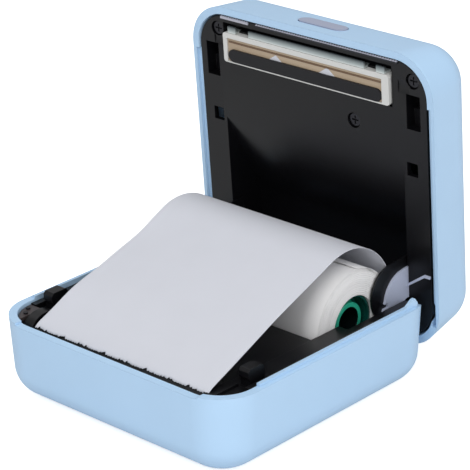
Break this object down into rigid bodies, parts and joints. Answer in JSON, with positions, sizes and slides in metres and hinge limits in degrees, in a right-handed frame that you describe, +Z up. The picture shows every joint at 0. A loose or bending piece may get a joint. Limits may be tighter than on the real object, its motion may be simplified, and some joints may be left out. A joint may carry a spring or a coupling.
{
  "type": "portable photo printer",
  "caption": "Square pocket thermal printer with a hinged lid standing open, a loose web of paper on its roll, a geared platen and a sprung head.",
  "frame": {"origin": "on the resting plane under the middle of the square base", "axes": "+X to the right of somebody facing the paper slot, +Y back to the hinge, +Z up"},
  "size_m": [0.08, 0.0986, 0.0858],
  "materials": {
    "blue_shell": "fine satin",
    "black_plastic": "satin",
    "lilac_plastic": "satin",
    "white_plastic": "satin",
    "bronze_steel": "dull",
    "steel": "satin",
    "pale_steel": "satin",
    "platen_rubber": "matte",
    "foot_rubber": "matte",
    "white_nylon": "satin",
    "ceramic": "matte",
    "heater_glaze": "glazed",
    "driver_cap": "satin",
    "paper": "matte",
    "green_core": "gloss",
    "board": "solder mask",
    "chip": "matte",
    "battery_foil": "foil"
  },
  "bodies": {
    "base": {"base_shell": "blue_shell", "base_frame": "black_plastic", "rubber_feet": "foot_rubber", "base_screws": "steel", "usb_socket": "steel", "charge_board": "board", "battery": "battery_foil", "paper_sensor": "chip", "gear_screws": "steel", "gear_plate": "steel", "gear_cover": "bronze_steel", "motor_body": "steel", "idler_pin": "steel", "paper_web": "paper", "left_platen_bush": "white_nylon", "left_bearing_cap": "black_plastic", "left_latch": "black_plastic", "right_platen_bush": "white_nylon", "right_bearing_cap": "black_plastic", "right_latch": "black_plastic"},
    "platen": {"platen_rubber": "platen_rubber", "platen_shaft": "steel", "platen_gear": "white_nylon"},
    "idler": {"idler_gear": "white_nylon"},
    "motor_rotor": {"motor_shaft": "steel", "motor_pinion": "white_nylon"},
    "roll": {"paper_roll": "paper", "roll_core": "green_core"},
    "lid": {"lid_shell": "blue_shell", "lid_frame": "black_plastic", "lid_screws": "steel", "tear_bar": "steel", "head_bracket": "pale_steel", "button_switch": "chip", "main_board": "board", "main_chips": "chip", "left_hinge_arm": "lilac_plastic", "left_hinge_pin": "steel", "left_roll_cheek": "black_plastic", "right_hinge_arm": "lilac_plastic", "right_hinge_pin": "steel", "right_roll_cheek": "black_plastic"},
    "print_head": {"head_carrier": "white_plastic", "head_plate": "ceramic", "head_heater": "heater_glaze", "head_driver": "driver_cap", "head_springs": "steel"},
    "button": {"power_button": "lilac_plastic"}
  },
  "joints": [
    {"name": "lid_hinge", "type": "hinge", "parent": "base", "child": "lid", "pos_m": [0, 0.0315, 0.0139], "axis": [1, 0, 0], "range_deg": [0, 86.5], "deforming": ["paper_web"]},
    {"name": "platen_spin", "type": "hinge", "parent": "base", "child": "platen", "pos_m": [0, -0.031, 0.0168], "axis": [1, 0, 0], "continuous": true},
    {"name": "idler_spin", "type": "hinge", "parent": "base", "child": "idler", "pos_m": [-0.03115, -0.02586, 0.0112], "axis": [1, 0, 0], "continuous": true},
    {"name": "motor_spin", "type": "hinge", "parent": "base", "child": "motor_rotor", "pos_m": [-0.03295, -0.01788, 0.0106], "axis": [1, 0, 0], "continuous": true},
    {"name": "roll_spin", "type": "hinge", "parent": "base", "child": "roll", "pos_m": [0, 0.02, 0.0185], "axis": [1, 0, 0], "continuous": true},
    {"name": "head_press", "type": "slide", "parent": "lid", "child": "print_head", "axis": [0, 0.9981, 0.061], "range_m": [0, 0.0005], "stiffness_N_per_m": 3000},
    {"name": "power_press", "type": "slide", "parent": "lid", "child": "button", "axis": [0, 0.061, -0.9981], "range_m": [0, 0.0006], "stiffness_N_per_m": 1500}
  ],
  "couplings": [
    {"joint": "idler_spin", "follows": "platen_spin", "ratio": -1.7143},
    {"joint": "motor_spin", "follows": "platen_spin", "ratio": 5.1429}
  ]
}
